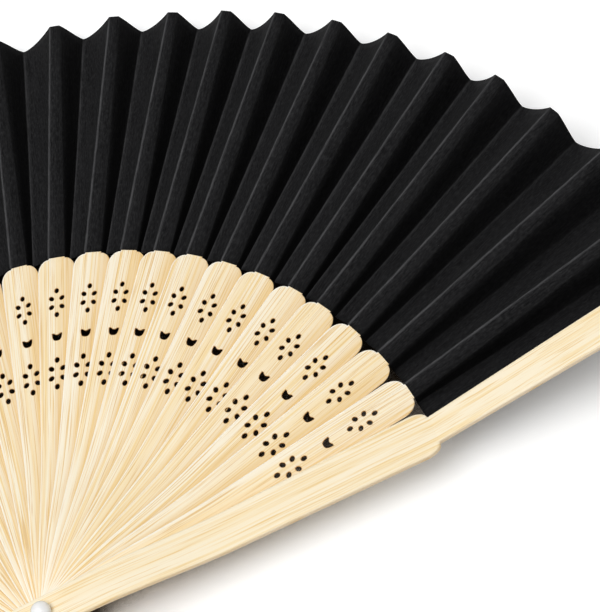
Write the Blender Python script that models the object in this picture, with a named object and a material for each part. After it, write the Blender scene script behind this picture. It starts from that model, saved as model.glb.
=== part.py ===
"""Folding hand fan: bamboo sticks on one rivet, with a pleated paper leaf glued over their slips.

The fan lies open on a table, front face up. The origin is the centre of the rear rivet head's
foot, on the rivet axis and on the table. The front guard lies to the right and on top, the back
guard to the left and on the table, and each rib lies on the one to its left. Sizes are in metres.
"""

import math

import bmesh
import bpy
from mathutils import Vector

MM = 0.001

# Opening
OPENING_ANGLE = math.radians(140.0)
FRONT_GUARD_ANGLE = math.radians(20.0)
# A fan opened by hand is never quite even: one share for each gap, front guard first
FRONT_GAP_SHARE = 1.22
BACK_GAP_SHARE = 1.08
RIB_GAP_SHARES = (
    1.10, 1.07, 1.03, 0.91, 1.00, 0.96, 0.97, 0.90, 0.90, 0.97, 0.99,
    1.03, 1.07, 0.96, 0.94, 0.95, 0.96, 0.94, 0.95, 0.96, 0.94, 0.95,
)

# Reaches along a stick, from the rivet axis
BUTT_REACH = 11.0 * MM
SEAT_REACH = 12.0 * MM
FALL_REACH = 55.0 * MM
LEAF_INNER_REACH = 114.0 * MM
LEAF_OUTER_REACH = 194.8 * MM
SHOULDER_GAP = 0.8 * MM
SLIP_INSET = 4.0 * MM
GUARD_OVERHANG = 3.0 * MM

# Widths of the ribs and of the guards
RIB_BUTT_WIDTH = 8.6 * MM
RIB_WIDTH = 11.6 * MM
SLIP_ROOT_WIDTH = 5.0 * MM
SLIP_TIP_WIDTH = 3.2 * MM
GUARD_BUTT_WIDTH = 9.4 * MM
GUARD_WIDTH = 12.9 * MM
BLADE_ROOT_WIDTH = 8.0 * MM
BLADE_TIP_WIDTH = 11.4 * MM
SHOULDER_ROUND = 4.6 * MM
BLADE_TIP_ROUND = 3.0 * MM

# Thicknesses, and the play left between two sticks on the rivet
RIB_THICKNESS = 0.45 * MM
SLIP_THICKNESS = 0.30 * MM
GUARD_THICKNESS = 2.2 * MM
STICK_PLAY = 0.15 * MM
# How far a stick climbs from the leaf's inner edge to its outer edge, up to the mountain folds:
# most on the front guard, then less by a step from stick to stick, down to the least
CLIMB_MOST = 20.0 * MM
CLIMB_STEP = 1.6 * MM
CLIMB_LEAST = 4.5 * MM
# How far the slips lean to the right of their handles at the leaf's outer edge
SLIP_LEAN = 1.5 * MM

# Cut-outs of a rib: two six-petal flowers with a crescent between them, set out from the shoulder
SHOULDER_TO_FLOWER = 14.4 * MM
FLOWER_TO_CRESCENT = 11.3 * MM
CRESCENT_TO_FLOWER = 11.7 * MM
FLOWER_HALF_LENGTH = 3.95 * MM
FLOWER_SIDE_ALONG = 1.42 * MM
FLOWER_SIDE_ACROSS = 1.60 * MM
PETAL_LENGTH = 1.55 * MM
PETAL_WIDTH = 1.25 * MM
INNER_FLOWER_SHARE = 1.08
CRESCENT_WIDTH = 2.8 * MM
CRESCENT_HEIGHT = 2.2 * MM
CRESCENT_BITE_DEPTH_SHARE = 0.32
CRESCENT_BITE_WIDTH_SHARE = 0.62

# Paper leaf
LEAF_THICKNESS = 0.15 * MM
GLUE_PLAY = 0.06 * MM
FOLD_PLAY = 0.30 * MM
VALLEY_DEPTH_INNER = 2.2 * MM
VALLEY_DEPTH_OUTER = 9.3 * MM
# Where a valley lies between two mountain folds, as shares of the way from the left one
VALLEY_INNER_SHARE = 0.52
VALLEY_OUTER_SHARE = 0.41
GUARD_TUCK = 1.0 * MM

# Rivet: a pearl head with a pin, and a rear head with a flat foot and a socket
PEARL_DIAMETER = 5.4 * MM
PEARL_HEIGHT = 4.2 * MM
REAR_HEAD_HEIGHT = 4.0 * MM
FOOT_DIAMETER = 3.2 * MM
PIN_DIAMETER = 2.4 * MM
PIN_PLAY = 0.12 * MM
SOCKET_DEPTH = 2.4 * MM
SOCKET_PLAY = 0.12 * MM
PIN_END_PLAY = 0.30 * MM

# Facets and the overrun of the cutters
CUT_OVERRUN = 1.0 * MM
PETAL_SIDES = 6
HOLE_SIDES = 8
CRESCENT_STEPS = 4
BUTT_STEPS = 3
FALL_STEPS = 6
SHOULDER_STEPS = 5
LEAF_STEPS = 2
RIVET_SIDES = 16
DOME_STEPS = 6

# Places that follow from the sizes above
RIB_COUNT = len(RIB_GAP_SHARES) + 1
HUB_RISE = REAR_HEAD_HEIGHT + STICK_PLAY
STICK_PITCH = RIB_THICKNESS + STICK_PLAY
LAST_RIB_LEVEL = GUARD_THICKNESS + STICK_PLAY
FRONT_GUARD_LEVEL = LAST_RIB_LEVEL + RIB_COUNT * STICK_PITCH
SHOULDER_REACH = LEAF_INNER_REACH - SHOULDER_GAP
OUTER_FLOWER_REACH = SHOULDER_REACH - SHOULDER_TO_FLOWER
CRESCENT_REACH = OUTER_FLOWER_REACH - FLOWER_TO_CRESCENT
INNER_FLOWER_REACH = CRESCENT_REACH - CRESCENT_TO_FLOWER
SLIP_REACH = LEAF_OUTER_REACH - SLIP_INSET
GUARD_REACH = LEAF_OUTER_REACH + GUARD_OVERHANG
LEAF_LENGTH = LEAF_OUTER_REACH - LEAF_INNER_REACH


def material(name, colour, roughness):
    """A Principled BSDF material of one colour."""
    mat = bpy.data.materials.new(name)
    mat.use_nodes = True
    shader = mat.node_tree.nodes["Principled BSDF"]
    shader.inputs["Base Color"].default_value = (*colour, 1.0)
    shader.inputs["Roughness"].default_value = roughness
    return mat


def make_object(name, bm, mat=None):
    """Turns a bmesh into a named object, with its faces pointing out."""
    bmesh.ops.recalc_face_normals(bm, faces=bm.faces)
    if bm.calc_volume(signed=True) < 0:
        bmesh.ops.reverse_faces(bm, faces=bm.faces)
    mesh = bpy.data.meshes.new(name)
    bm.to_mesh(mesh)
    bm.free()
    if mat:
        mesh.materials.append(mat)
    obj = bpy.data.objects.new(name, mesh)
    bpy.context.scene.collection.objects.link(obj)
    return obj


def bridge_rings(bm, rings):
    """Skins a row of rings of vertices, and leaves both ends open."""
    for ring, following in zip(rings, rings[1:]):
        for k in range(len(ring)):
            n = (k + 1) % len(ring)
            bm.faces.new((ring[k], ring[n], following[n], following[k]))


def hub_lift(reach):
    """Height of a stick over its own level as it bends up to the rivet."""
    fall = min(max((reach - SEAT_REACH) / (FALL_REACH - SEAT_REACH), 0.0), 1.0)
    return HUB_RISE * (1.0 - fall * fall * (3.0 - 2.0 * fall))


def leaf_lift(reach, climb):
    """Height of a stick over its own level as it climbs along the leaf."""
    return climb * max(reach - LEAF_INNER_REACH, 0.0) / LEAF_LENGTH


def stick_level(number):
    """Level of a rib's underside, by its number from the front guard."""
    return LAST_RIB_LEVEL + (RIB_COUNT - number) * STICK_PITCH


def stick_climb(number):
    """How far a stick climbs, by its number from the front guard, which is 0."""
    return max(CLIMB_MOST - CLIMB_STEP * number, CLIMB_LEAST)


def lean(reach):
    """How far a slip's middle lies across its handle's middle line at a reach."""
    return -SLIP_LEAN * max(reach - LEAF_INNER_REACH, 0.0) / LEAF_LENGTH


def handle_stations(butt_width, width, neck_width, shoulder_reach):
    """Half widths from the round butt to the shoulder, as (place along the stick, half width)."""
    butt, half, neck = butt_width / 2, width / 2, neck_width / 2
    round_start = shoulder_reach - SHOULDER_ROUND
    stations = []
    for k in range(1, BUTT_STEPS + 1):
        turn = math.pi / 2 * k / BUTT_STEPS
        stations.append((-(BUTT_REACH - butt) - butt * math.cos(turn), butt * math.sin(turn)))

    def tapered(along):
        return butt + (half - butt) * max(along, 0.0) / round_start

    for k in range(FALL_STEPS + 1):
        along = SEAT_REACH + (FALL_REACH - SEAT_REACH) * k / FALL_STEPS
        stations.append((along, tapered(along)))
    for k in range(SHOULDER_STEPS + 1):
        turn = math.pi / 2 * k / SHOULDER_STEPS
        along = round_start + SHOULDER_ROUND * math.sin(turn)
        stations.append((along, neck + (half - neck) * math.cos(turn)))
    return stations


def loft_stick(name, stations, climb, offset, mat):
    """Lofts a stick through (place, half width, thickness) stations, bent up and across."""
    bm = bmesh.new()
    rings = []
    for along, half, thickness in stations:
        reach = math.hypot(along, half)
        base = hub_lift(reach) + leaf_lift(reach, climb)
        left, right = offset(along) + half, offset(along) - half
        corners = ((left, base + thickness), (right, base + thickness), (right, base), (left, base))
        rings.append([bm.verts.new((along, across, height)) for across, height in corners])
    bridge_rings(bm, rings)
    bm.faces.new(rings[0])
    bm.faces.new(rings[-1])
    return make_object(name, bm, mat)


def add_prism(bm, outline, low, high):
    """Adds a closed upright prism on an outline of (x, y) points."""
    rings = [[bm.verts.new((x, y, z)) for x, y in outline] for z in (low, high)]
    bridge_rings(bm, rings)
    bm.faces.new(rings[0])
    bm.faces.new(rings[1])


def ellipse(along, across, length, width, heading, sides):
    """Outline of an oval whose long axis points along the heading."""
    points = []
    for k in range(sides):
        turn = 2 * math.pi * k / sides
        p, q = length / 2 * math.cos(turn), width / 2 * math.sin(turn)
        points.append((along + p * math.cos(heading) - q * math.sin(heading),
                       across + p * math.sin(heading) + q * math.cos(heading)))
    return points


def flower(reach, share):
    """Outlines of six petals, each pointing at the middle of its flower."""
    tip, along, across = FLOWER_HALF_LENGTH, FLOWER_SIDE_ALONG, FLOWER_SIDE_ACROSS
    places = [(tip, 0.0), (-tip, 0.0)]
    places += [(u * along, v * across) for u in (1, -1) for v in (1, -1)]
    return [
        ellipse(reach + share * p, share * q, share * PETAL_LENGTH, share * PETAL_WIDTH,
                math.atan2(q, p), PETAL_SIDES)
        for p, q in places
    ]


def crescent():
    """Outline of a full moon shape with a small bite, whose blunt horns point to the leaf."""
    half, top = CRESCENT_WIDTH / 2, CRESCENT_REACH + CRESCENT_HEIGHT / 2
    points = []
    for k in range(CRESCENT_STEPS + 1):
        turn = math.pi * k / CRESCENT_STEPS
        points.append((top - CRESCENT_HEIGHT * math.sin(turn), half * math.cos(turn)))
    bite, bottom = half * CRESCENT_BITE_WIDTH_SHARE, top - CRESCENT_HEIGHT * CRESCENT_BITE_DEPTH_SHARE
    return points + [(top, -bite), (bottom, 0.0), (top, bite)]


def hide(obj):
    """Marks a cutter, which shows as wire and isn't rendered."""
    obj.hide_render = True
    obj.display_type = "WIRE"


def cut(obj, cutter):
    """Cuts an object with a cutter, and applies the cut to its mesh."""
    step = obj.modifiers.new("cut", "BOOLEAN")
    step.operation = "DIFFERENCE"
    step.solver = "EXACT"
    step.object = cutter
    graph = bpy.context.evaluated_depsgraph_get()
    mesh = bpy.data.meshes.new_from_object(obj.evaluated_get(graph))
    obj.modifiers.clear()
    obj.data = mesh
    mesh.name = obj.name


def add_pivot_hole(bm, thickness):
    """Adds the cutter of the hole that the rivet's pin passes through."""
    bore = PIN_DIAMETER + 2 * PIN_PLAY
    add_prism(bm, ellipse(0.0, 0.0, bore, bore, 0.0, HOLE_SIDES), HUB_RISE - CUT_OVERRUN,
              HUB_RISE + thickness + CUT_OVERRUN)


def make_rib(mat):
    """The perforated rib that all the others are copied from: a broad handle, then a level slip."""
    stations = [
        (along, half, RIB_THICKNESS)
        for along, half in handle_stations(RIB_BUTT_WIDTH, RIB_WIDTH, SLIP_ROOT_WIDTH, SHOULDER_REACH)
    ]
    slip = SLIP_ROOT_WIDTH / 2
    stations.append((LEAF_INNER_REACH - FOLD_PLAY, slip, SLIP_THICKNESS))
    stations.append((LEAF_INNER_REACH, slip, SLIP_THICKNESS))
    stations.append((SLIP_REACH, SLIP_TIP_WIDTH / 2, SLIP_THICKNESS))
    rib = loft_stick("rib_01", stations, 0.0, lean, mat)
    bm = bmesh.new()
    outlines = flower(OUTER_FLOWER_REACH, 1.0) + flower(INNER_FLOWER_REACH, INNER_FLOWER_SHARE)
    for outline in outlines + [crescent()]:
        add_prism(bm, outline, -CUT_OVERRUN, RIB_THICKNESS + CUT_OVERRUN)
    add_pivot_hole(bm, RIB_THICKNESS)
    punch = make_object("rib_punch", bm)
    hide(punch)
    cut(rib, punch)
    return rib


def make_climb(mesh, climb):
    """Bends the slip of a level rib up along the leaf."""
    for vertex in mesh.vertices:
        vertex.co.z += leaf_lift(vertex.co.x, climb)


def make_guard(name, climb, mat):
    """A guard: a thick plain handle and a blade that widens to its rounded end."""
    shoulder = handle_stations(GUARD_BUTT_WIDTH, GUARD_WIDTH, BLADE_ROOT_WIDTH, LEAF_INNER_REACH)
    root, tip = BLADE_ROOT_WIDTH / 2, BLADE_TIP_WIDTH / 2
    stations = [(along, half, GUARD_THICKNESS) for along, half in shoulder]
    for k in range(SHOULDER_STEPS):
        turn = math.pi / 2 * k / SHOULDER_STEPS
        along = GUARD_REACH - BLADE_TIP_ROUND * (1 - math.sin(turn))
        stations.append((along, tip - BLADE_TIP_ROUND * (1 - math.cos(turn)), GUARD_THICKNESS))
    guard = loft_stick(name, stations, climb, lambda along: 0.0, mat)
    bm = bmesh.new()
    add_pivot_hole(bm, GUARD_THICKNESS)
    punch = make_object(name + "_punch", bm)
    hide(punch)
    cut(guard, punch)
    return guard


def blade_half(reach):
    """Half width of a guard's blade at a reach."""
    way = (reach - LEAF_INNER_REACH) / (GUARD_REACH - BLADE_TIP_ROUND - LEAF_INNER_REACH)
    return (BLADE_ROOT_WIDTH + (BLADE_TIP_WIDTH - BLADE_ROOT_WIDTH) * way) / 2


def slip_half(reach):
    """Half width of a slip at a reach."""
    way = (reach - LEAF_INNER_REACH) / (SLIP_REACH - LEAF_INNER_REACH)
    return (SLIP_ROOT_WIDTH + (SLIP_TIP_WIDTH - SLIP_ROOT_WIDTH) * way) / 2


def valley(reach, gap):
    """Place across and depth of a valley fold, from the mountain fold on its left."""
    way = (reach - LEAF_INNER_REACH) / LEAF_LENGTH
    share = VALLEY_INNER_SHARE + (VALLEY_OUTER_SHARE - VALLEY_INNER_SHARE) * way
    depth = VALLEY_DEPTH_INNER + (VALLEY_DEPTH_OUTER - VALLEY_DEPTH_INNER) * way
    return share * gap * reach, depth


def rib_section(reach, gap, number):
    """Underside of a pleat at a reach, left to right: over its slip, down, and up to the next stick."""
    half, middle = slip_half(reach), lean(reach)
    glued = SLIP_THICKNESS + GLUE_PLAY + leaf_lift(reach, stick_climb(number))
    following = STICK_PITCH + leaf_lift(reach, stick_climb(number - 1))
    across, depth = valley(reach, gap)
    # A valley comes down to the table at most
    depth = min(depth, stick_level(number) + glued - STICK_PLAY)
    left = middle + half
    points = [(left, glued), (middle - half, glued), (left - across, glued - depth)]
    pitch = -gap * reach
    if number == 1:
        under = following - GLUE_PLAY - LEAF_THICKNESS
        points += [(pitch + blade_half(reach) - GUARD_TUCK, under), (pitch, under)]
    else:
        points.append((pitch + left + FOLD_PLAY, following + SLIP_THICKNESS + GLUE_PLAY))
    return points


def back_section(reach, gap):
    """Underside of the last pleat at a reach: flat on the back guard's blade, then up to a rib."""
    on_blade = GUARD_THICKNESS + GLUE_PLAY
    glued = LAST_RIB_LEVEL + SLIP_THICKNESS + GLUE_PLAY + leaf_lift(reach, stick_climb(RIB_COUNT))
    edge = -blade_half(reach) + GUARD_TUCK
    rise_to = -gap * reach + lean(reach) + slip_half(reach) + FOLD_PLAY
    return [(0.0, on_blade), (edge, on_blade), (rise_to, glued)]


def offset_up(points, distance):
    """Offsets a section that runs right to left or left to right by a distance, with mitred folds."""
    normals = []
    for (y0, z0), (y1, z1) in zip(points, points[1:]):
        run = Vector((y1 - y0, z1 - z0)).normalized()
        normals.append(Vector((run.y, -run.x)))
    moved = []
    for k, (y, z) in enumerate(points):
        before, after = normals[max(k - 1, 0)], normals[min(k, len(normals) - 1)]
        mitre = (before + after).normalized()
        step = mitre * (distance / mitre.dot(before))
        moved.append((y + step.x, z + step.y))
    return moved


def make_pleat(name, section, mat, *bounds):
    """One pleat of the leaf: a thin folded sheet, ruled from its inner to its outer edge."""
    bm = bmesh.new()
    rings = []
    for k in range(LEAF_STEPS + 1):
        reach = LEAF_INNER_REACH + LEAF_LENGTH * k / LEAF_STEPS
        under = section(reach, *bounds)
        over = offset_up(under, LEAF_THICKNESS)
        rings.append([
            bm.verts.new((reach * math.cos(y / reach), reach * math.sin(y / reach), z))
            for y, z in under + over[::-1]
        ])
    # A panel twists a little, so its two sides are split along diagonals that lie over each other
    count = len(rings[0])
    for ring, following in zip(rings, rings[1:]):
        for k in range(count):
            n = (k + 1) % count
            if k < count // 2:
                bm.faces.new((ring[k], ring[n], following[n]))
                bm.faces.new((ring[k], following[n], following[k]))
            else:
                bm.faces.new((ring[k], ring[n], following[k]))
                bm.faces.new((ring[n], following[n], following[k]))
    for ring in (rings[0], rings[-1]):
        for k in range(count // 2 - 1):
            bm.faces.new((ring[k], ring[k + 1], ring[count - 2 - k], ring[count - 1 - k]))
    return make_object(name, bm, mat)


def revolve(name, profile, mat):
    """Turns a profile of (radius, height) points round the rivet axis into a closed body."""
    bm = bmesh.new()
    rings = []
    for radius, height in profile:
        rings.append([
            bm.verts.new((radius * math.cos(turn), radius * math.sin(turn), height))
            for turn in (2 * math.pi * k / RIVET_SIDES for k in range(RIVET_SIDES))
        ])
    bridge_rings(bm, rings)
    bm.faces.new(rings[0])
    bm.faces.new(rings[-1])
    obj = make_object(name, bm, mat)
    obj.data.shade_smooth()
    obj.data.set_sharp_from_angle(angle=math.radians(50.0))
    return obj


def ball_arc(radius, low, high, centre):
    """Points of a ball's outline from one height to another, measured from its centre."""
    start, end = math.asin(low / radius), math.asin(high / radius)
    points = []
    for k in range(DOME_STEPS + 1):
        turn = start + (end - start) * k / DOME_STEPS
        points.append((radius * math.cos(turn), centre + radius * math.sin(turn)))
    return points


def make_rivet(mat):
    """The two halves of the rivet: the pearl with its pin, and the rear head with its socket."""
    ball, pin = PEARL_DIAMETER / 2, PIN_DIAMETER / 2
    foot_drop = math.sqrt(ball ** 2 - (FOOT_DIAMETER / 2) ** 2)
    socket = pin + SOCKET_PLAY
    rear = ball_arc(ball, -foot_drop, REAR_HEAD_HEIGHT - foot_drop, foot_drop)
    rear += [(socket, REAR_HEAD_HEIGHT), (socket, REAR_HEAD_HEIGHT - SOCKET_DEPTH)]
    base = FRONT_GUARD_LEVEL + HUB_RISE + GUARD_THICKNESS + STICK_PLAY
    centre = PEARL_HEIGHT - ball
    front = [(pin, REAR_HEAD_HEIGHT - SOCKET_DEPTH + PIN_END_PLAY), (pin, base)]
    front += ball_arc(ball, -centre, ball * math.sin(math.radians(80.0)), base + centre)
    return revolve("rivet_back", rear, mat), revolve("rivet_front", front, mat)


def stick_angles():
    """Headings of the sticks from the front guard to the back guard, and the gaps between them."""
    shares = (FRONT_GAP_SHARE, *RIB_GAP_SHARES, BACK_GAP_SHARE)
    gaps = [OPENING_ANGLE * share / sum(shares) for share in shares]
    return [FRONT_GUARD_ANGLE + sum(gaps[:k]) for k in range(len(gaps) + 1)], gaps


def place(obj, axis, level, heading):
    """Puts a stick on the rivet axis at its level, turned to its heading."""
    obj.parent = axis
    obj.location = (0.0, 0.0, level)
    obj.rotation_euler = (0.0, 0.0, heading)


def main():
    for obj in list(bpy.data.objects):
        bpy.data.objects.remove(obj, do_unlink=True)
    bamboo = material("bamboo", (0.86, 0.74, 0.52), 0.45)
    guard_bamboo = material("guard_bamboo", (0.88, 0.77, 0.56), 0.42)
    paper = material("black_paper", (0.012, 0.012, 0.013), 0.8)
    pearl = material("pearl_plastic", (0.88, 0.87, 0.86), 0.18)

    axis = bpy.data.objects.new("rivet_axis", None)
    axis.empty_display_size = BUTT_REACH
    bpy.context.scene.collection.objects.link(axis)

    headings, gaps = stick_angles()
    place(make_guard("front_guard", stick_climb(0), guard_bamboo), axis, FRONT_GUARD_LEVEL, headings[0])
    place(make_guard("back_guard", 0.0, guard_bamboo), axis, 0.0, headings[-1])

    first = make_rib(bamboo)
    ribs = [first]
    for number in range(2, RIB_COUNT + 1):
        rib = bpy.data.objects.new(f"rib_{number:02d}", first.data.copy())
        bpy.context.scene.collection.objects.link(rib)
        ribs.append(rib)
    for number, rib in enumerate(ribs, start=1):
        make_climb(rib.data, stick_climb(number))
        place(rib, axis, stick_level(number), headings[number])
        pleat = make_pleat(f"pleat_{number:02d}", rib_section, paper, gaps[number - 1], number)
        place(pleat, axis, stick_level(number), headings[number])
    last = make_pleat(f"pleat_{RIB_COUNT + 1:02d}", back_section, paper, gaps[-1])
    place(last, axis, 0.0, headings[-1])

    for half in make_rivet(pearl):
        half.parent = axis


main()
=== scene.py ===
"""Looks of a folding hand fan: bamboo sticks on a pearl rivet, with a pleated black paper leaf."""

import math

import bmesh
import bpy
from mathutils import Matrix, Vector
from mathutils.geometry import tessellate_polygon


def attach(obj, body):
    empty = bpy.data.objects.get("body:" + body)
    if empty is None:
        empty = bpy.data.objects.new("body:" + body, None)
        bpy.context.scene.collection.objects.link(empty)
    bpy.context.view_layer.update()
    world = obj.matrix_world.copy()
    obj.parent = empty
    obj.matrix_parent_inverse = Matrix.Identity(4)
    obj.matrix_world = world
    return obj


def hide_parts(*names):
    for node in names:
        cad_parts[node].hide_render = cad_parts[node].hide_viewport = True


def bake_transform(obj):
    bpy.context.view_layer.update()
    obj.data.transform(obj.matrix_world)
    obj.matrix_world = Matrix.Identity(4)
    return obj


MM = 0.001

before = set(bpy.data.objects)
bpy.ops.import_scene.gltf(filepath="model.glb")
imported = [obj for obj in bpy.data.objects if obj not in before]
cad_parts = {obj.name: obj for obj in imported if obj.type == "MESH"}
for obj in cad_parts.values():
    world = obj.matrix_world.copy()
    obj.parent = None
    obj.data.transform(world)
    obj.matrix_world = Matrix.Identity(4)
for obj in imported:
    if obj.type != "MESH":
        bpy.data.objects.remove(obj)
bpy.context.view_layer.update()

# Opening, as in the solids: one share for each gap, front guard first
OPENING_ANGLE = math.radians(140.0)
FRONT_GUARD_ANGLE = math.radians(20.0)
GAP_SHARES = (
    1.22, 1.10, 1.07, 1.03, 0.91, 1.00, 0.96, 0.97, 0.90, 0.90, 0.97, 0.99, 1.03,
    1.07, 0.96, 0.94, 0.95, 0.96, 0.94, 0.95, 0.96, 0.94, 0.95, 1.08,
)
GAPS = [OPENING_ANGLE * share / sum(GAP_SHARES) for share in GAP_SHARES]
HEADINGS = [FRONT_GUARD_ANGLE + sum(GAPS[:k]) for k in range(len(GAPS) + 1)]
RIB_COUNT = len(GAPS) - 1

# Reaches along a stick from the rivet's axis, as in the solids but for the ribs' shoulders,
# which stand 0.4 mm nearer to the paper
BUTT_REACH = 11.0 * MM
SEAT_REACH = 12.0 * MM
FALL_REACH = 55.0 * MM
LEAF_INNER = 114.0 * MM
LEAF_OUTER = 194.8 * MM
SHOULDER_REACH = LEAF_INNER - 0.4 * MM
SLIP_REACH = LEAF_OUTER - 4.0 * MM
GUARD_REACH = LEAF_OUTER + 3.0 * MM

# Half widths of the sticks and their roundings
RIB_BUTT, RIB_HALF = 4.3 * MM, 5.8 * MM
SLIP_ROOT, SLIP_TIP = 2.5 * MM, 1.6 * MM
GUARD_BUTT, GUARD_HALF = 4.7 * MM, 6.45 * MM
BLADE_ROOT, BLADE_TIP = 4.0 * MM, 5.7 * MM
SHOULDER_ROUND = 4.6 * MM
TIP_ROUND = 3.0 * MM
BLADE_END = GUARD_REACH - TIP_ROUND

# Thicknesses and levels. A rib thins to its slip's thickness just before the leaf
RIB_THICKNESS, SLIP_THICKNESS, GUARD_THICKNESS = 0.45 * MM, 0.30 * MM, 2.2 * MM
THINNED_FROM = LEAF_INNER - 0.2 * MM
PLAY = 0.15 * MM
REAR_HEAD_HEIGHT = 4.0 * MM
HUB_RISE = REAR_HEAD_HEIGHT + PLAY
PITCH = RIB_THICKNESS + PLAY
LAST_RIB_LEVEL = GUARD_THICKNESS + PLAY
FRONT_GUARD_LEVEL = LAST_RIB_LEVEL + RIB_COUNT * PITCH
CLIMB_MOST, CLIMB_STEP, CLIMB_LEAST = 20.0 * MM, 1.6 * MM, 4.5 * MM
SLIP_LEAN = 1.5 * MM

# Cut-outs of a rib: the reach and scale of each flower, and the places of its petals in mm
FLOWERS = ((98.8 * MM, 1.0), (75.8 * MM, 1.08))
PETALS = ((3.95, 0.0), (-3.95, 0.0), (1.42, 1.60), (1.42, -1.60), (-1.42, 1.60), (-1.42, -1.60))
PETAL_LENGTH, PETAL_WIDTH = 1.62 * MM, 1.30 * MM
CRESCENT_REACH = 87.5 * MM
CRESCENT_WIDTH, CRESCENT_HEIGHT = 3.0 * MM, 2.3 * MM
CRESCENT_FULLNESS = 0.65
BITE_DEPTH_SHARE, BITE_WIDTH_SHARE = 0.20, 0.60
BORE_DIAMETER = 2.64 * MM

# The hidden right side of a rib is hollowed beside its inner flower
WAIST_START, WAIST_LENGTH, WAIST_DEPTH = 40.0 * MM, 56.0 * MM, 0.85 * MM

# Round edges: (distance into the material, depth below the nearer face) from a face to the edge
HOLE_EDGE = ((0.34 * MM, 0.0), (0.06 * MM, 0.01 * MM), (0.0, 0.07 * MM))
RIB_EDGE = (
    (0.60 * MM, 0.0), (0.20 * MM, 0.01 * MM), (0.07 * MM, 0.06 * MM), (0.0, 0.15 * MM),
)
GUARD_EDGE = (
    (0.90 * MM, 0.0), (0.40 * MM, 0.03 * MM), (0.12 * MM, 0.16 * MM), (0.0, 0.42 * MM),
)
SHARPEST_MITRE = 0.6

# How scorched and darkened with painted shade a stick's right edge is, how quickly that fades, and
# how pale its left wall is, as sanding and a painted highlight
RIGHT_EDGE_SINGE_AND_SHADE, RIGHT_EDGE_FADE = 0.55, 3
WALL_SANDING_AND_HIGHLIGHT = 0.5

# Cuts that let a flat stick bend, along it and across it
BEND_CUTS = [x * MM for x in range(-8, 60, 3)] + [LEAF_INNER]
RIB_CUTS = (-2.0 * MM, 0.0, 2.0 * MM)
GUARD_CUTS = (-3.0 * MM, 0.0, 3.0 * MM)
CUT_TOLERANCE = 1e-7

# Steps and sides of the outlines
PETAL_SIDES, BORE_SIDES, BALL_SIDES = 18, 24, 64
CUP_STEPS, BITE_STEPS = 16, 8
ROUND_STEPS, HANDLE_STEPS, BLADE_STEPS, TIP_STEPS = 12, 24, 12, 8
STRIP_STEPS, FALL_STEPS, RISE_STEPS, LAST_RISE_STEPS = 4, 13, 12, 15
REAR_STEPS, PEARL_STEPS = 24, 36
LEAF_ROWS = 32

# Leaf: pairs are for its inner and its outer edge
PAPER = 0.15 * MM
GLUE_PLAY = 0.06 * MM
PAPER_OVER_SLIP = SLIP_THICKNESS + GLUE_PLAY + PAPER
PAPER_OVER_BLADE = GUARD_THICKNESS + GLUE_PLAY + PAPER
VALLEY_DEPTHS = (2.2 * MM, 9.3 * MM)
VALLEY_SHARES = (0.52, 0.41)
FIRST_VALLEY_SHARE = 0.8
GUARD_TUCK = 1.0 * MM
CREASE = 0.55 * MM
CREASE_DROP = 0.03 * MM
STRIP_BOW = 0.12 * MM
VALLEY_SIDE, VALLEY_LIFT = 0.7 * CREASE, 0.04 * MM
BROW_SIDE, BROW_DROP_SHARE = 0.8 * CREASE, 0.05

# The paper's rise from a valley: how much of it is curved, and how strongly
RISE_BOW, LAST_RISE_BOW = (0.55, 1.7), (0.5, 1.8)

# Wear and painted highlight of the creases, and painted shade of the paper, from 0 to 1. Pairs are
# for a soft fold and for a crisp one: the folds up to the second are soft, and those from the sixth
# on are crisp
SOFT_FOLD, CRISP_FOLD = 2, 6
VALLEY_WEAR_AND_HIGHLIGHT, VALLEY_SHADE = (0.04, 0.40), (0.9, 0.5)
VALLEY_SIDE_WEAR_AND_HIGHLIGHT, VALLEY_SIDE_SHADE = (0.0, 0.1), (0.7, 0.1)
GUARD_SIDE_HIGHLIGHT_FROM, GUARD_SIDE_HIGHLIGHT = 0.7, 0.16
STRIP_EDGE_WEAR_AND_HIGHLIGHT, BROW_SHADE = 0.05, 0.36
FRONT_GUARD_SHADE, UNDER_GUARD_SHADE = 0.7, 0.6
BLADE_SHADE, BLADE_EDGE_SHADE, BLADE_EDGE_WEAR_AND_HIGHLIGHT = 0.1, 0.6, 0.6
OUTER_SHADE_LOSS = 0.3
FIBRE_SHIFT = 0.05

# Rivet. The pearl's centre is measured from its foot, and its sink and its top from its centre
BALL_RADIUS = 2.7 * MM
PEARL_CENTRE, PEARL_SINK = 1.5 * MM, 1.1 * MM
PEARL_TOP = 0.999 * BALL_RADIUS
PIN_RADIUS, PIN_BOTTOM = 1.2 * MM, 1.9 * MM
SOCKET_PLAY, SOCKET_BOTTOM = 0.12 * MM, 1.6 * MM
FOOT_RADIUS = 1.6 * MM
COLLAR = ((2.35 * MM, 0.0), (2.5 * MM, 0.1 * MM), (2.5 * MM, 0.28 * MM), (2.35 * MM, 0.36 * MM))


# Places

def between(start, end, way):
    """The value a part of the way from one value to another."""
    return start + (end - start) * way


def steps(count, first=0):
    """Shares of a way that is walked in equal steps, with its end."""
    return [k / count for k in range(first, count + 1)]


def within(value):
    """A share kept from 0 to 1."""
    return min(max(value, 0.0), 1.0)


def stick(number):
    """Name of a stick by its place: 0 is the front guard and the last is the back guard."""
    if number == 0:
        return "front_guard"
    return "back_guard" if number > RIB_COUNT else f"rib_{number:02d}"


def level(number):
    """Height of a stick's underside, away from the rivet and the leaf."""
    if number == 0:
        return FRONT_GUARD_LEVEL
    return 0.0 if number > RIB_COUNT else LAST_RIB_LEVEL + (RIB_COUNT - number) * PITCH


def leaf_way(reach):
    """How far a reach is along the leaf, from 0 at its inner edge to 1 at its outer edge."""
    return (reach - LEAF_INNER) / (LEAF_OUTER - LEAF_INNER)


def hub_lift(reach):
    """Height of a stick over its own level as it bends up to the rivet."""
    fall = within((reach - SEAT_REACH) / (FALL_REACH - SEAT_REACH))
    return HUB_RISE * (1.0 - fall * fall * (3.0 - 2.0 * fall))


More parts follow.
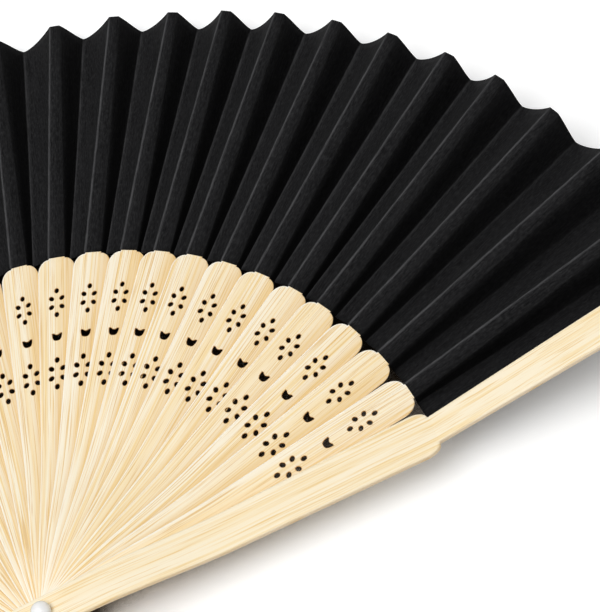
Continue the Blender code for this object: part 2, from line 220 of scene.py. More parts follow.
def leaf_lift(reach, number):
    """Height of a stick over its own level as it climbs along the leaf; the last one lies flat."""
    climb = 0.0 if number > RIB_COUNT else max(CLIMB_MOST - CLIMB_STEP * number, CLIMB_LEAST)
    return climb * max(leaf_way(reach), 0.0)


def lean(reach):
    """How far a slip's middle lies across its handle's middle line."""
    return -SLIP_LEAN * max(leaf_way(reach), 0.0)


def waist(along):
    """How far the right side of a rib is hollowed."""
    return WAIST_DEPTH * math.sin(math.pi * within((along - WAIST_START) / WAIST_LENGTH)) ** 2


def straight(along):
    """No lean and no hollow anywhere."""
    return 0.0


def slip_half(reach):
    """Half width of a slip."""
    return between(SLIP_ROOT, SLIP_TIP, (reach - LEAF_INNER) / (SLIP_REACH - LEAF_INNER))


def blade_half(reach):
    """Half width of a guard's blade."""
    return between(BLADE_ROOT, BLADE_TIP, (reach - LEAF_INNER) / (BLADE_END - LEAF_INNER))


# Meshes

def new_object(name, bm):
    """Makes an object of a mesh under construction, which is freed."""
    mesh = bpy.data.meshes.new(name)
    bm.to_mesh(mesh)
    bm.free()
    obj = bpy.data.objects.new(name, mesh)
    bpy.context.scene.collection.objects.link(obj)
    return obj


def inward(outline, distance):
    """Moves a closed outline into the material on its left by a distance."""
    moved = []
    count = len(outline)
    for k in range(count):
        before = (outline[k] - outline[k - 1]).normalized()
        after = (outline[(k + 1) % count] - outline[k]).normalized()
        side = Vector((-(before.y + after.y), before.x + after.x))
        side.normalize()
        reach = max(side.dot(Vector((-before.y, before.x))), SHARPEST_MITRE)
        moved.append(outline[k] + side * (distance / reach))
    return moved


def plate(outlines, thickness, edges):
    """A flat plate with round edges. Outlines, the outer one first, have material on their left.

    Walls of holes get material slot 1, and all the other faces slot 0. The left edge is marked
    for sanding and a painted highlight, the right edge for a little scorching and painted shade,
    and the rims of the holes as scorched.
    """
    bm = bmesh.new()
    sanding_and_highlight = bm.verts.layers.float.new("sanding_and_highlight")
    singe_and_shade = bm.verts.layers.float.new("singe_and_shade")
    top, bottom = [], []
    for number, (outline, edge) in enumerate(zip(outlines, edges)):
        rings = []
        upper_half = [(distance, thickness - depth) for distance, depth in edge]
        for distance, height in upper_half + list(reversed(edge)):
            ring = [bm.verts.new((p.x, p.y, height)) for p in inward(outline, distance)]
            near = 1.0 - distance / edge[0][0]
            for v in ring:
                # Rims of holes are scorched; the left edge is paler, as sanding and a painted
                # highlight; the right edge is scorched and darkened with painted shade
                if number:
                    v[singe_and_shade] = near
                elif v.co.y > 0.0:
                    v[sanding_and_highlight] = near if distance else WALL_SANDING_AND_HIGHLIGHT
                else:
                    v[singe_and_shade] = RIGHT_EDGE_SINGE_AND_SHADE * near ** RIGHT_EDGE_FADE
            rings.append(ring)
        for station, (upper, lower) in enumerate(zip(rings, rings[1:])):
            wall = number and 0 < station < len(rings) - 2
            for k in range(len(upper)):
                n = (k + 1) % len(upper)
                face = bm.faces.new((upper[k], lower[k], lower[n], upper[n]))
                face.smooth = True
                face.material_index = 1 if wall else 0
        top.append(rings[0])
        bottom.append(rings[-1])
    for loops in (top, bottom):
        flat = [v for loop in loops for v in loop]
        shape = [[Vector((v.co.x, v.co.y, 0.0)) for v in loop] for loop in loops]
        for corners in tessellate_polygon(shape):
            if len(set(corners)) == 3:
                bm.faces.new([flat[k] for k in corners])
    bmesh.ops.recalc_face_normals(bm, faces=bm.faces)
    return bm


def slice_mesh(bm, along_cuts, across_cuts):
    """Adds edges across a mesh, so that it can bend smoothly."""
    for direction, cuts in ((Vector((1, 0, 0)), along_cuts), (Vector((0, 1, 0)), across_cuts)):
        for cut in cuts:
            whole = bm.verts[:] + bm.edges[:] + bm.faces[:]
            bmesh.ops.bisect_plane(bm, geom=whole, dist=CUT_TOLERANCE,
                                   plane_co=cut * direction, plane_no=direction)


def bend(bm, number):
    """Bends a flat stick up to the rivet and up along the leaf."""
    for v in bm.verts:
        v.co.z += hub_lift(math.hypot(v.co.x, v.co.y)) + leaf_lift(v.co.x, number)


# Outlines

def oval(along, across, length, width, heading=0.0, count=PETAL_SIDES):
    """Clockwise outline of an oval hole."""
    points = []
    for k in range(count):
        turn = -2 * math.pi * k / count
        p, q = length / 2 * math.cos(turn), width / 2 * math.sin(turn)
        points.append(Vector((along + p * math.cos(heading) - q * math.sin(heading),
                              across + p * math.sin(heading) + q * math.cos(heading))))
    return points


def bore():
    """Clockwise outline of the hole for the rivet's pin."""
    return oval(0.0, 0.0, BORE_DIAMETER, BORE_DIAMETER, count=BORE_SIDES)


def crescent():
    """Clockwise outline of a full cup with a small bite, whose blunt horns point to the leaf."""
    half, top = CRESCENT_WIDTH / 2, CRESCENT_REACH + CRESCENT_HEIGHT / 2
    points = []
    for t in steps(CUP_STEPS):
        across = math.cos(math.pi * t)
        across = math.copysign(abs(across) ** CRESCENT_FULLNESS, across)
        points.append(Vector((top - CRESCENT_HEIGHT * math.sin(math.pi * t), half * across)))
    for t in steps(BITE_STEPS):
        across = 2 * t - 1
        depth = BITE_DEPTH_SHARE * (1 - across ** 2)
        points.append(Vector((top - CRESCENT_HEIGHT * depth, half * across * BITE_WIDTH_SHARE)))
    return points[::-1]


def handle_side(butt, half, root, shoulder_reach):
    """Right side of a stick from its butt to past its shoulder: (along, half width)."""
    centre, start = butt - BUTT_REACH, shoulder_reach - SHOULDER_ROUND
    quarter = [math.pi / 2 * t for t in steps(ROUND_STEPS)]
    side = [(centre - butt * math.cos(turn), butt * math.sin(turn)) for turn in quarter]
    side += [(start * t, between(butt, half, t)) for t in steps(HANDLE_STEPS)]
    side += [(start + SHOULDER_ROUND * math.sin(turn), between(root, half, math.cos(turn)))
             for turn in quarter[1:]]
    return side


def mirrored(side, middle=straight, hollow=straight):
    """A closed counterclockwise outline from one side's points, the first of which is its tip."""
    right = [Vector((x, middle(x) - w + hollow(x))) for x, w in side]
    return right + [Vector((x, middle(x) + w)) for x, w in reversed(side[1:])]


# Sticks

def flat_rib():
    """The perforated rib before it is bent: a broad handle, a round shoulder and a thin slip."""
    side = handle_side(RIB_BUTT, RIB_HALF, SLIP_ROOT, SHOULDER_REACH)
    for t in steps(BLADE_STEPS, 1):
        side.append((between(LEAF_INNER, SLIP_REACH, t), between(SLIP_ROOT, SLIP_TIP, t)))
    holes = []
    for reach, scale in FLOWERS:
        for p, q in PETALS:
            holes.append(oval(reach + scale * p * MM, scale * q * MM, scale * PETAL_LENGTH,
                              scale * PETAL_WIDTH, math.atan2(q, p)))
    holes += [crescent(), bore()]
    edges = [RIB_EDGE] + [HOLE_EDGE] * len(holes)
    bm = plate([mirrored(side, lean, waist)] + holes, RIB_THICKNESS, edges)
    slice_mesh(bm, BEND_CUTS, RIB_CUTS)
    for v in bm.verts:
        if v.co.x > THINNED_FROM:
            v.co.z *= SLIP_THICKNESS / RIB_THICKNESS
    return bm


def rib_mesh(flat, number):
    """A rib bent at its own place in the stack, and marked with the gap to the next stick."""
    bm = flat.copy()
    gap = bm.verts.layers.float.new("gap")
    for v in bm.verts:
        v[gap] = GAPS[number - 1]
    bend(bm, number)
    return bm


def guard_mesh(number):
    """A guard: a thick plain handle and a blade that widens to its round end."""
    side = handle_side(GUARD_BUTT, GUARD_HALF, BLADE_ROOT, LEAF_INNER)
    for t in steps(BLADE_STEPS, 1):
        side.append((between(LEAF_INNER, BLADE_END, t), between(BLADE_ROOT, BLADE_TIP, t)))
    for t in steps(TIP_STEPS, 1):
        turn = math.pi / 2 * t
        side.append((BLADE_END + TIP_ROUND * math.sin(turn),
                     BLADE_TIP - TIP_ROUND * (1 - math.cos(turn))))
    bm = plate([mirrored(side), bore()], GUARD_THICKNESS, [GUARD_EDGE, HOLE_EDGE])
    slice_mesh(bm, BEND_CUTS, GUARD_CUTS)
    bend(bm, number)
    return bm


# Leaf

def strip_shade(t):
    """Shade on the glued strip, which grows from its mountain fold to its edge."""
    return 0.12 + 0.5 * t ** 1.5


def fall_shade(t):
    """Shade on the fall to a valley, which soon is the deepest."""
    return within(0.62 + t)


def rise_shade(t, crisp):
    """Shade on the rise: a soft fold is darkest at its valley, a crisp one by the next stick."""
    return between(0.30 + 0.42 * (1 - t) ** 4, 0.06 + 0.28 * t, crisp)


def last_rise_shade(t):
    """Shade on the last fold's rise, which grows paler from the blade's edge."""
    return max(0.3, 0.6 - t)


def falling(t):
    """Share of the fall to a valley: half of it an even curve, and half of it steep at once."""
    return 0.5 * t * t * (3 - 2 * t) + 0.5 * t ** 0.8


def rising(t, share, power):
    """Share of the rise from a valley, which steepens towards the next stick."""
    return (1 - share) * t + share * t ** power


def fold_section(number, reach):
    """Top of one fold at a reach: the strip on its left slip, the valley and the next mountain.

    Each point is (across, height, how much of a crease it is, how deep in the shade it lies).
    """
    gap, way = GAPS[number - 1], leaf_way(reach)
    half, middle = slip_half(reach), lean(reach)
    height = level(number) + leaf_lift(reach, number) + PAPER_OVER_SLIP
    left, slip_end = middle + half, middle - half
    share = between(*VALLEY_SHARES, way) * (FIRST_VALLEY_SHARE if number == 1 else 1.0)
    valley = left - share * gap * reach
    low = height - min(between(*VALLEY_DEPTHS, way), height - PAPER - PLAY)
    following = level(number - 1) + leaf_lift(reach, number - 1)
    if number == 1:
        right, top = blade_half(reach) - GUARD_TUCK - gap * reach, following - GLUE_PLAY
    else:
        right, top = left - gap * reach, following + PAPER_OVER_SLIP
    crisp = within((number - SOFT_FOLD) / (CRISP_FOLD - SOFT_FOLD))

    # The glued strip, from the mountain fold over the slip to its edge
    # Crease numbers make paler lines of wear and painted highlight; shade numbers are painted shade
    points = [(left, height, 1.0, 0.0), (left - CREASE, height - CREASE_DROP, 0.0, 0.0)]
    for t in steps(STRIP_STEPS, 1):
        bowed = height - CREASE_DROP - STRIP_BOW * t * t
        wear_and_highlight = STRIP_EDGE_WEAR_AND_HIGHLIGHT if t == 1.0 else 0.0
        points.append((between(left - CREASE, slip_end, t), bowed, wear_and_highlight, strip_shade(t)))
    # The fall to the valley
    edge = points[-1][1]
    for t in steps(FALL_STEPS, 1)[:-1]:
        points.append((between(slip_end, valley, t), between(edge, low, falling(t)),
                       0.0, fall_shade(t)))
    points.append((valley, low, between(*VALLEY_WEAR_AND_HIGHLIGHT, crisp), between(*VALLEY_SHADE, crisp)))
    points.append((valley - VALLEY_SIDE, low + VALLEY_LIFT,
                   between(*VALLEY_SIDE_WEAR_AND_HIGHLIGHT, crisp), between(*VALLEY_SIDE_SHADE, crisp)))
    # The rise to the next stick. Beside the front guard its top carries a painted highlight
    for t in steps(RISE_STEPS, 1)[:-1]:
        wear_and_highlight = GUARD_SIDE_HIGHLIGHT if number == 1 and t > GUARD_SIDE_HIGHLIGHT_FROM else 0.0
        points.append((between(valley - CREASE, right, t),
                       between(low + VALLEY_LIFT, top, rising(t, *RISE_BOW)),
                       wear_and_highlight, rise_shade(t, crisp)))
    if number == 1:
        return points + [(right, top, 0.0, FRONT_GUARD_SHADE),
                         (-gap * reach, top, 0.0, UNDER_GUARD_SHADE)]
    brow = between(top, low, BROW_DROP_SHARE)
    return points + [(right + BROW_SIDE, brow, 0.0, BROW_SHADE), (right, top, 1.0, 0.0)]


def last_section(reach):
    """The last fold: flat on the back guard's blade, then up to the last rib."""
    low, top = PAPER_OVER_BLADE, LAST_RIB_LEVEL + leaf_lift(reach, RIB_COUNT) + PAPER_OVER_SLIP
    edge = GUARD_TUCK - blade_half(reach)
    right = lean(reach) + slip_half(reach) - GAPS[-1] * reach
    points = [(0.0, low, 0.0, 0.0), (edge / 2, low, 0.0, BLADE_SHADE),
              (edge, low, BLADE_EDGE_WEAR_AND_HIGHLIGHT, BLADE_EDGE_SHADE)]
    for t in steps(LAST_RISE_STEPS, 1)[:-1]:
        points.append((between(edge, right, t), between(low, top, rising(t, *LAST_RISE_BOW)),
                       0.0, last_rise_shade(t)))
    return points + [(right, top, 1.0, 0.0)]


def fold_mesh(number):
    """One fold of the leaf as a sheet over a grid of reaches, in the fan's own frame."""
    bm = bmesh.new()
    grain = bm.loops.layers.uv.new("grain")
    crease = bm.verts.layers.float.new("crease")
    shade = bm.verts.layers.float.new("shade")
    rings, marks = [], []
    for way in steps(LEAF_ROWS):
        reach = between(LEAF_INNER, LEAF_OUTER, way)
        section = last_section(reach) if number > RIB_COUNT else fold_section(number, reach)
        ring = []
        for y, z, sharp, dim in section:
            angle = HEADINGS[number] + y / reach
            v = bm.verts.new((reach * math.cos(angle), reach * math.sin(angle), z))
            v[crease], v[shade] = sharp, dim * (1.0 - OUTER_SHADE_LOSS * way)
            ring.append(v)
        rings.append(ring)
        widths = [math.hypot(b[0] - a[0], b[1] - a[1]) for a, b in zip(section, section[1:])]
        marks.append([(number * FIBRE_SHIFT + sum(widths[:k]), reach)
                      for k in range(len(section))])
    for j in range(LEAF_ROWS):
        for k in range(len(rings[0]) - 1):
            corners = ((j, k), (j, k + 1), (j + 1, k + 1), (j + 1, k))
            face = bm.faces.new([rings[a][b] for a, b in corners])
            face.smooth = True
            for loop, (a, b) in zip(face.loops, corners):
                loop[grain].uv = marks[a][b]
    bm.normal_update()
    if sum(f.normal.z for f in bm.faces) < 0:
        bmesh.ops.reverse_faces(bm, faces=bm.faces)
    return bm


# Rivet

def revolve(name, profile):
    """Turns a profile of (radius, height) points round the rivet axis into a closed body."""
    bm = bmesh.new()
    turns = [2 * math.pi * k / BALL_SIDES for k in range(BALL_SIDES)]
    rings = [[bm.verts.new((r * math.cos(a), r * math.sin(a), z)) for a in turns]
             for r, z in profile]
    for ring, following in zip(rings, rings[1:]):
        for k in range(BALL_SIDES):
            n = (k + 1) % BALL_SIDES
            bm.faces.new((ring[k], ring[n], following[n], following[k])).smooth = True
    bm.faces.new(rings[0])
    bm.faces.new(rings[-1])
    bmesh.ops.recalc_face_normals(bm, faces=bm.faces)
    return new_object(name, bm)


def arc(low, high, centre, count):
    """Points of a rivet ball's outline between two heights, measured from its centre."""
    start, end = math.asin(low / BALL_RADIUS), math.asin(high / BALL_RADIUS)
    turns = [between(start, end, t) for t in steps(count)]
    return [(BALL_RADIUS * math.cos(t), centre + BALL_RADIUS * math.sin(t)) for t in turns]


def rear_head():
    """The rear head: a ball cut flat at its foot, with a socket for the pin."""
    drop = math.sqrt(BALL_RADIUS ** 2 - FOOT_RADIUS ** 2)
    socket = PIN_RADIUS + SOCKET_PLAY
    profile = arc(-drop, REAR_HEAD_HEIGHT - drop, drop, REAR_STEPS)
    profile += [(socket, REAR_HEAD_HEIGHT), (socket, SOCKET_BOTTOM)]
    return revolve("pearl_rear", profile)


def front_head():
    """The pearl with its thin collar and its pin."""
    base = FRONT_GUARD_LEVEL + HUB_RISE + GUARD_THICKNESS + PLAY
    profile = [(PIN_RADIUS, PIN_BOTTOM), (PIN_RADIUS, base)]
    profile += [(radius, base + height) for radius, height in COLLAR]
    profile += arc(-PEARL_SINK, PEARL_TOP, base + PEARL_CENTRE, PEARL_STEPS)
    return revolve("pearl_front", profile)


# Materials

BLACK, WHITE = (0.0, 0.0, 0.0), (1.0, 1.0, 1.0)
# The first brown scorches the holes' rims and walls, and the right edge, where it also stands for
# painted shade
SINGED = (0.62, 0.34, 0.12)
CHARRED = (0.30, 0.14, 0.04)

# Bamboo: pale ground, tan grain, dark lines, which also colour the painted shade under the next
# rib, and the left edge, paler as sanding and a painted highlight
RIB_COLOURS = (0.95, 0.86, 0.68), (0.90, 0.69, 0.36), (0.76, 0.50, 0.20), (1.0, 0.965, 0.87)
GUARD_COLOURS = (0.95, 0.84, 0.63), (0.92, 0.74, 0.44), (0.84, 0.60, 0.27), (0.97, 0.87, 0.66)
WARM_SHARE = 0.55
BAMBOO_ROUGHNESS = (0.45, 0.62)
SINGE_AND_SHADE_FADE, SINGE_AND_SHADE_MOST = 1.6, 0.8

# Shade under the next rib. Starts and end are parts of the width that shows: one shade begins
# before its middle, a second one near its end, and both are full just past its end
TUCK_START, TUCK_SHADE = 0.45, 0.6
TUCK_LINE_START, TUCK_LINE_SHADE = 0.88, 0.45
TUCK_END = 1.03
LEAST_SHOWN = 0.2 * MM

# Paper: the darkest and the palest black of its fibres and clouds, and its other tones: flecks, the
# grey of wear and painted highlight on creases, and the black of painted shade
FIBRE_BLACKS = (0.004, 0.004, 0.0043), (0.022, 0.022, 0.023)
CLOUD_BLACKS = (0.005, 0.005, 0.0053), (0.017, 0.017, 0.018)
FLECK_GREY = (0.032, 0.032, 0.033)
WEAR_AND_HIGHLIGHT_GREY = (0.090, 0.090, 0.093)
DEEP_BLACK = (0.0005, 0.0005, 0.0005)
CLOUD_SHARE, SHADE_MOST = 0.4, 0.95

# Pearl: its two tones, and how deep red, green and blue light goes into it
PEARL_TONES = (0.94, 0.905, 0.91), (0.975, 0.945, 0.95)
PEARL_DEPTHS = (4.5 * MM, 4.2 * MM, 4.1 * MM)

# How often a pattern changes in a metre: along, across and through a stick
BROAD_GRAIN = (8.0, 240.0, 40.0)
MEDIUM_GRAIN = (11.0, 1250.0, 60.0)
FINE_GRAIN = (34.0, 3000.0, 200.0)
CHAR_PATCHES = (900.0, 900.0, 900.0)
PEARL_SWIRL = (260.0, 260.0, 420.0)

# The same for the paper, across a fold and along it
PAPER_FIBRES = (1900.0, 120.0, 1.0)
PAPER_CLOUDS = (420.0, 30.0, 1.0)
PAPER_FLECKS = (2200.0, 600.0, 1.0)

# The grain is moved on by this from stick to stick, so that no two are alike
STICK_SHIFT = (0.173, 0.031, 0.0)
RELIEF = 0.03 * MM


def grey(value):
    """A neutral colour."""
    return (value, value, value)


class Shading:
    """A node tree with short calls for its nodes. A value may be a socket or a plain value."""

    def __init__(self, owner):
        owner.use_nodes = True
        self.nodes, self.links = owner.node_tree.nodes, owner.node_tree.links

    def fill(self, node, values):
        """Sets or links a node's inputs, by name or by number."""
        for key, value in values.items():
            socket = node.inputs[key]
            if isinstance(value, bpy.types.NodeSocket):
                self.links.new(value, socket)
            elif socket.type == "RGBA":
                socket.default_value = (*value, 1.0)
            else:
                socket.default_value = value

    def add(self, kind, output, values, **settings):
        """Adds a node with its settings and inputs, and gives one of its outputs."""
        node = self.nodes.new("ShaderNode" + kind)
        for name, value in settings.items():
            setattr(node, name, value)
        self.fill(node, values)
        return node.outputs[output]

    def surface(self, values):
        """Sets or links inputs of the material's own shader."""
        self.fill(self.nodes["Principled BSDF"], values)

    def place(self):
        """The place on an object, in metres."""
        return self.add("TexCoord", "Object", {})

    def attribute(self, name):
        """A number that is stored on the mesh."""
        return self.add("Attribute", "Fac", {}, attribute_name=name)

    def maths(self, operation, *values):
        """A sum, a product or another result of numbers."""
        return self.add("Math", "Value", dict(enumerate(values)), operation=operation)

    def streaks(self, source, scale, detail=2.0, roughness=0.5):
        """A noise stretched along the stick or the paper's fibres."""
        place = self.add("Mapping", "Vector", {"Vector": source, "Scale": scale})
        look = {"Vector": place, "Scale": 1.0, "Detail": detail, "Roughness": roughness}
        return self.add("TexNoise", "Fac", look)

    def ramp(self, source, *stops):
        """Turns a number into a colour by two or more stops of (position, colour)."""
        node = self.nodes.new("ShaderNodeValToRGB")
        band = node.color_ramp.elements
        for element, (position, colour) in zip(band, (stops[0], stops[-1])):
            element.position, element.color = position, (*colour, 1.0)
        for position, colour in stops[1:-1]:
            band.new(position).color = (*colour, 1.0)
        self.links.new(source, node.inputs["Fac"])
        return node.outputs["Color"]

    def smooth_range(self, value, start, end, low, high):
        """Goes smoothly from low to high while the value goes from start to end."""
        limits = {"Value": value, "From Min": start, "From Max": end,
                  "To Min": low, "To Max": high}
        return self.add("MapRange", "Result", limits, interpolation_type="SMOOTHSTEP")

    def mix(self, factor, first, second):
        """Mixes two colours."""
        node = self.nodes.new("ShaderNodeMix")
        node.data_type = "RGBA"
        keys = {socket.name: k for k, socket in enumerate(node.inputs) if socket.enabled}
        self.fill(node, {keys["Factor"]: factor, keys["A"]: first, keys["B"]: second})
        return next(socket for socket in node.outputs if socket.enabled)

    def bump(self, height, strength):
        """Fine relief of the surface."""
        look = {"Height": height, "Strength": strength, "Distance": RELIEF}
        return self.add("Bump", "Normal", look)

    def seen(self):
        """1 for rays that show something, straight or in a gloss, and 0 for rays of light."""
        path = self.nodes.new("ShaderNodeLightPath").outputs
        straight_or_gloss = self.maths("MAXIMUM", path["Is Camera Ray"], path["Is Glossy Ray"])
        return self.maths("MAXIMUM", straight_or_gloss, path["Is Transmission Ray"])


def new_material(name):
    """A material and its node tree."""
    mat = bpy.data.materials.new(name)
    return mat, Shading(mat)


def bamboo(name, pale, tan, dark, edge_colour, tucked):
    """Smooth pale bamboo with grain streaks along the stick, and a left edge paled as sanding and
    painted highlight.

    The rims of holes are scorched, and the right edge is scorched and darkened with painted shade.
    A tucked stick carries painted shade on the side that lies under the next one, and darker
    painted shade again where it goes under.
    """
    mat, tree = new_material(name)
    place = tree.place()
    number = tree.add("ObjectInfo", "Object Index", {})
    own_place = tree.add("VectorMath", "Vector", {0: number, 1: STICK_SHIFT, 2: place},
                         operation="MULTIPLY_ADD")
    broad = tree.streaks(own_place, BROAD_GRAIN)
    medium = tree.streaks(own_place, MEDIUM_GRAIN, 3.0, 0.6)
    fine = tree.streaks(own_place, FINE_GRAIN, 2.0, 0.6)
    warm = tuple(between(light, deep, WARM_SHARE) for light, deep in zip(pale, tan))
    base = tree.ramp(broad, (0.34, warm), (0.56, pale))
    base = tree.mix(tree.ramp(medium, (0.40, WHITE), (0.50, BLACK)), base, tan)
    base = tree.mix(tree.ramp(fine, (0.38, grey(0.85)), (0.46, BLACK)), base, dark)
    # Painted shade on the side under the next rib, and a darker painted shadow line where it goes
    # under
    if tucked:
        apart = tree.nodes.new("ShaderNodeSeparateXYZ")
        tree.fill(apart, {"Vector": place})
        along, across = apart.outputs["X"], apart.outputs["Y"]
        slope = (RIB_HALF - RIB_BUTT) / (SHOULDER_REACH - SHOULDER_ROUND)
        half = tree.maths("MULTIPLY_ADD", along, slope, RIB_BUTT)
        room = tree.maths("SUBTRACT", half, across)
        shown = tree.maths("MULTIPLY", along, tree.attribute("gap"))
        part = tree.maths("DIVIDE", room, tree.maths("MAXIMUM", shown, LEAST_SHOWN))
        for start, most in ((TUCK_START, TUCK_SHADE), (TUCK_LINE_START, TUCK_LINE_SHADE)):
            base = tree.mix(tree.smooth_range(part, start, TUCK_END, 0.0, most), base, dark)
    # Scorching on the rims of holes, and on the right edge scorching with painted shade
    singe_and_edge_shade = tree.maths("POWER", tree.attribute("singe_and_shade"), SINGE_AND_SHADE_FADE)
    base = tree.mix(tree.maths("MULTIPLY", singe_and_edge_shade, SINGE_AND_SHADE_MOST), base, SINGED)
    # Paler left edge: sanding and a painted highlight
    base = tree.mix(tree.attribute("sanding_and_highlight"), base, edge_colour)
    smooth, rough = BAMBOO_ROUGHNESS
    tree.surface({
        "Base Color": base,
        "Roughness": tree.add("MapRange", "Result",
                              {"Value": medium, "To Min": smooth, "To Max": rough}),
        "Specular IOR Level": 0.25,
        "Normal": tree.bump(fine, 0.2),
    })
    return mat


def scorched():
    """The walls of the holes, browned by the cutter."""
    mat, tree = new_material("scorched_bamboo")
    patches = tree.streaks(tree.place(), CHAR_PATCHES)
    tree.surface({
        "Base Color": tree.ramp(patches, (0.35, CHARRED), (0.65, SINGED)),
        "Roughness": 0.8,
        "Specular IOR Level": 0.1,
    })
    return mat


def black_paper():
    """Matt black paper with fine fibres along the folds, painted shade in the folds, and paler
    creases of wear and painted highlight.
    """
    mat, tree = new_material("black_paper")
    place = tree.add("UVMap", "UV", {}, uv_map="grain")
    fibres = tree.streaks(place, PAPER_FIBRES, 3.0, 0.65)
    clouds = tree.streaks(place, PAPER_CLOUDS)
    flecks = tree.streaks(place, PAPER_FLECKS, 2.0, 0.7)
    base = tree.ramp(fibres, (0.34, FIBRE_BLACKS[0]), (0.68, FIBRE_BLACKS[1]))
    cloud = tree.ramp(clouds, (0.3, CLOUD_BLACKS[0]), (0.7, CLOUD_BLACKS[1]))
    base = tree.mix(CLOUD_SHARE, base, cloud)
    base = tree.mix(tree.ramp(flecks, (0.45, BLACK), (0.68, grey(0.7))), base, FLECK_GREY)
    # Painted shade, deepest in the folds
    dim = tree.maths("MULTIPLY", tree.attribute("shade"), SHADE_MOST)
    base = tree.mix(dim, base, DEEP_BLACK)
    # Paler crease lines of wear and painted highlight, broken up by the fibres
    broken_by_fibres = tree.ramp(fibres, (0.35, grey(0.35)), (0.6, WHITE))
    wear_and_highlight = tree.maths("MULTIPLY", tree.attribute("crease"), broken_by_fibres)
    tree.surface({
        "Base Color": tree.mix(wear_and_highlight, base, WEAR_AND_HIGHLIGHT_GREY),
        "Roughness": 0.8,
        "Specular IOR Level": 0.03,
        "Normal": tree.bump(fibres, 0.35),
    })
    return mat


def pearl():
    """Glossy white pearl with a soft inner glow."""
    mat, tree = new_material("pearl")
    swirl = tree.streaks(tree.place(), PEARL_SWIRL, 3.0)
    tree.surface({
        "Base Color": tree.ramp(swirl, (0.3, PEARL_TONES[0]), (0.7, PEARL_TONES[1])),
        "Roughness": 0.22,
        "Coat Weight": 0.3,
        "Coat Roughness": 0.08,
        "Subsurface Weight": 1.0,
        "Subsurface Scale": 1.0,
        "Subsurface Radius": PEARL_DEPTHS,
    })
    return mat


# Assembly

rib_bamboo = bamboo("rib_bamboo", *RIB_COLOURS, tucked=True)
guard_bamboo = bamboo("guard_bamboo", *GUARD_COLOURS, tucked=False)
hole_walls = scorched()
paper = black_paper()
white_pearl = pearl()


def dress(obj, node, slot, *mats):
    """Stands a piece in for a CAD node and gives it its materials."""
    for mat in mats:
        obj.data.materials.append(mat)
    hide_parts(node)


def add_stick(bm, number, slot, mat):
    """Lays a bent stick at its own level and heading, to move with its own body."""
    obj = new_object("bamboo_" + stick(number), bm)
    dress(obj, stick(number), slot, mat, hole_walls)
    turned = Matrix.Rotation(HEADINGS[number], 4, "Z")
    obj.matrix_world = Matrix.Translation((0.0, 0.0, level(number))) @ turned
    obj.pass_index = number
    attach(obj, stick(number))


def add_fold(number):
    """Stretches one fold of the leaf between its two sticks."""
    fold = new_object(f"paper_fold_{number:02d}", fold_mesh(number))
    dress(fold, f"pleat_{number:02d}", "paper", paper)
    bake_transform(fold)
    solid = fold.modifiers.new("thickness", "SOLIDIFY")
    solid.thickness = PAPER
    solid.offset = -1.0


level_rib = flat_rib()
for number in range(1, RIB_COUNT + 1):
    add_stick(rib_mesh(level_rib, number), number, "bamboo", rib_bamboo)
level_rib.free()

for number in (0, RIB_COUNT + 1):
    add_stick(guard_mesh(number), number, "guard_bamboo", guard_bamboo)

for number in range(1, RIB_COUNT + 2):
    add_fold(number)

for half, node in ((rear_head(), "rivet_back"), (front_head(), "rivet_front")):
    dress(half, node, "pearl", white_pearl)
    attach(half, "back_guard")


# Stage

CAMERA_TILT, CAMERA_TURN, CAMERA_ROLL = (math.radians(a) for a in (28.916, 20.589, -26.594))
CAMERA_DISTANCE = 525.574 * MM
CAMERA_LOOK = Vector((71.386 * MM, 85.747 * MM, 9.631 * MM))
FOCAL_PIXELS, FRAME_WIDTH = 1847.14, 600
SENSOR_WIDTH = 36.0
CLIP_START, CLIP_END = 0.01, 20.0

# Lamps: lean from overhead to the camera's right and to its top, distance, size and power
LAMPS = {"key": (-0.16, -0.22, 1.2, 0.65, 6.9), "top": (0.0, -0.14, 1.6, 1.6, 11.4)}
WORLD_LIGHT = 0.22

# Floor: its whites, and its painted shade by how much of the air over a point is open
FLOOR_RADIUS, FLOOR_SIDES = 6.0, 64
FLOOR_CLOUDS = (3.0, 3.0, 3.0)
FLOOR_WHITES = grey(0.98), WHITE
OPEN_AIR_REACH, OPEN_AIR_SAMPLES = 60.0 * MM, 16
CONTACT_SHADE = (0.22, BLACK), (0.28, (0.30, 0.19, 0.09)), (0.34, WHITE)
SHADE_COLOUR = (0.016, 0.011, 0.006)

# The floor's own white grows with the distance from the fan's middle
FAN_MIDDLE = (0.0, 0.1, 0.0)
GLOW_START, GLOW_END = 0.3, 1.2
GLOW_NEAR, GLOW_FAR = 0.17, 1.0


def camera_axes():
    """The camera's right, up and forward directions."""
    c, s = math.cos(CAMERA_TILT), math.sin(CAMERA_TILT)
    ca, sa = math.cos(CAMERA_TURN), math.sin(CAMERA_TURN)
    right, up = Vector((ca, sa, 0.0)), Vector((-sa * c, ca * c, s))
    forward = Vector((-sa * s, ca * s, -c))
    cr, sr = math.cos(CAMERA_ROLL), math.sin(CAMERA_ROLL)
    return cr * right + sr * up, cr * up - sr * right, forward


def add_camera():
    """The camera of the photograph."""
    right, up, forward = camera_axes()
    data = bpy.data.cameras.new("camera")
    data.sensor_fit = "HORIZONTAL"
    data.sensor_width = SENSOR_WIDTH
    data.lens = FOCAL_PIXELS * SENSOR_WIDTH / FRAME_WIDTH
    data.clip_start, data.clip_end = CLIP_START, CLIP_END
    obj = bpy.data.objects.new("camera", data)
    bpy.context.scene.collection.objects.link(obj)
    stand = CAMERA_LOOK - CAMERA_DISTANCE * forward
    obj.matrix_world = Matrix((
        (right.x, up.x, -forward.x, stand.x),
        (right.y, up.y, -forward.y, stand.y),
        (right.z, up.z, -forward.z, stand.z),
        (0.0, 0.0, 0.0, 1.0),
    ))
    bpy.context.scene.camera = obj


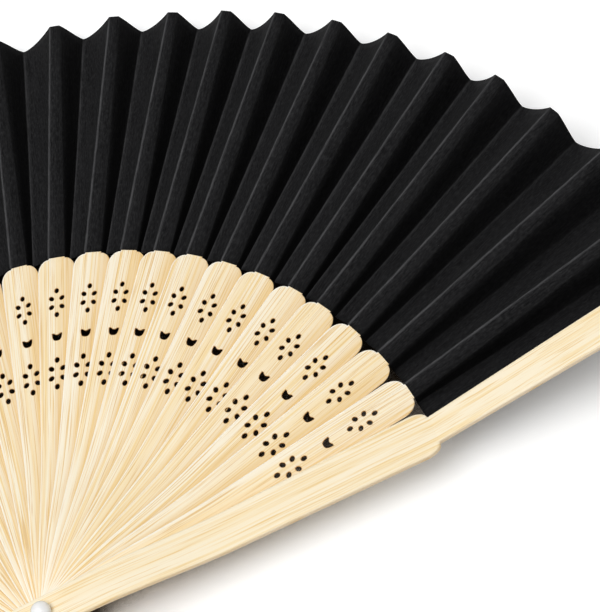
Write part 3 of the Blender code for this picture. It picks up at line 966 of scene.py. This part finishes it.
def add_lamp(name, across, upward, distance, size, power):
    """A square soft lamp overhead that looks at the middle of the view."""
    right, up, _ = camera_axes()
    direction = across * right + upward * up
    direction.z = 1.0
    direction.normalize()
    data = bpy.data.lights.new(name, "AREA")
    data.size = size
    data.energy = power
    obj = bpy.data.objects.new(name, data)
    bpy.context.scene.collection.objects.link(obj)
    obj.location = CAMERA_LOOK + direction * distance
    obj.rotation_mode = "QUATERNION"
    obj.rotation_quaternion = direction.to_track_quat("Z", "Y")


def add_floor():
    """A white table that keeps the fan's shadow and turns pure white far from it."""
    bm = bmesh.new()
    bmesh.ops.create_circle(bm, cap_ends=True, radius=FLOOR_RADIUS, segments=FLOOR_SIDES)
    floor = new_object("floor", bm)
    mat, tree = new_material("white_table")
    place = tree.place()
    tone = tree.streaks(place, FLOOR_CLOUDS, 1.0)
    white = tree.ramp(tone, (0.3, FLOOR_WHITES[0]), (0.7, FLOOR_WHITES[1]))
    open_air = tree.add("AmbientOcclusion", "AO", {"Distance": OPEN_AIR_REACH},
                        samples=OPEN_AIR_SAMPLES)
    # Painted shade where the fan closes off the air above the floor: brown at its edge, black under
    # it
    painted_contact_shade = tree.ramp(open_air, *CONTACT_SHADE)
    away = tree.add("VectorMath", "Value", {0: place, 1: FAN_MIDDLE}, operation="DISTANCE")
    glow = tree.smooth_range(away, GLOW_START, GLOW_END, GLOW_NEAR, GLOW_FAR)
    tree.surface({
        "Base Color": tree.mix(painted_contact_shade, SHADE_COLOUR, white),
        "Emission Color": painted_contact_shade,
        "Emission Strength": tree.maths("MULTIPLY", tree.seen(), glow),
        "Roughness": 0.9,
        "Specular IOR Level": 0.05,
    })
    floor.data.materials.append(mat)


def set_world():
    """Soft light from all round, and a white background."""
    world = bpy.data.worlds.new("world")
    tree = Shading(world)
    soft = tree.nodes["Background"]
    tree.fill(soft, {"Color": WHITE, "Strength": WORLD_LIGHT})
    white = tree.add("Background", "Background", {"Color": WHITE, "Strength": 1.0})
    sky = tree.add("MixShader", "Shader", {0: tree.seen(), 1: soft.outputs["Background"], 2: white})
    tree.links.new(sky, tree.nodes["World Output"].inputs["Surface"])
    bpy.context.scene.world = world


for name, lamp in LAMPS.items():
    add_lamp(name, *lamp)
add_floor()
set_world()
add_camera()
bpy.context.scene.view_settings.view_transform = "Standard"
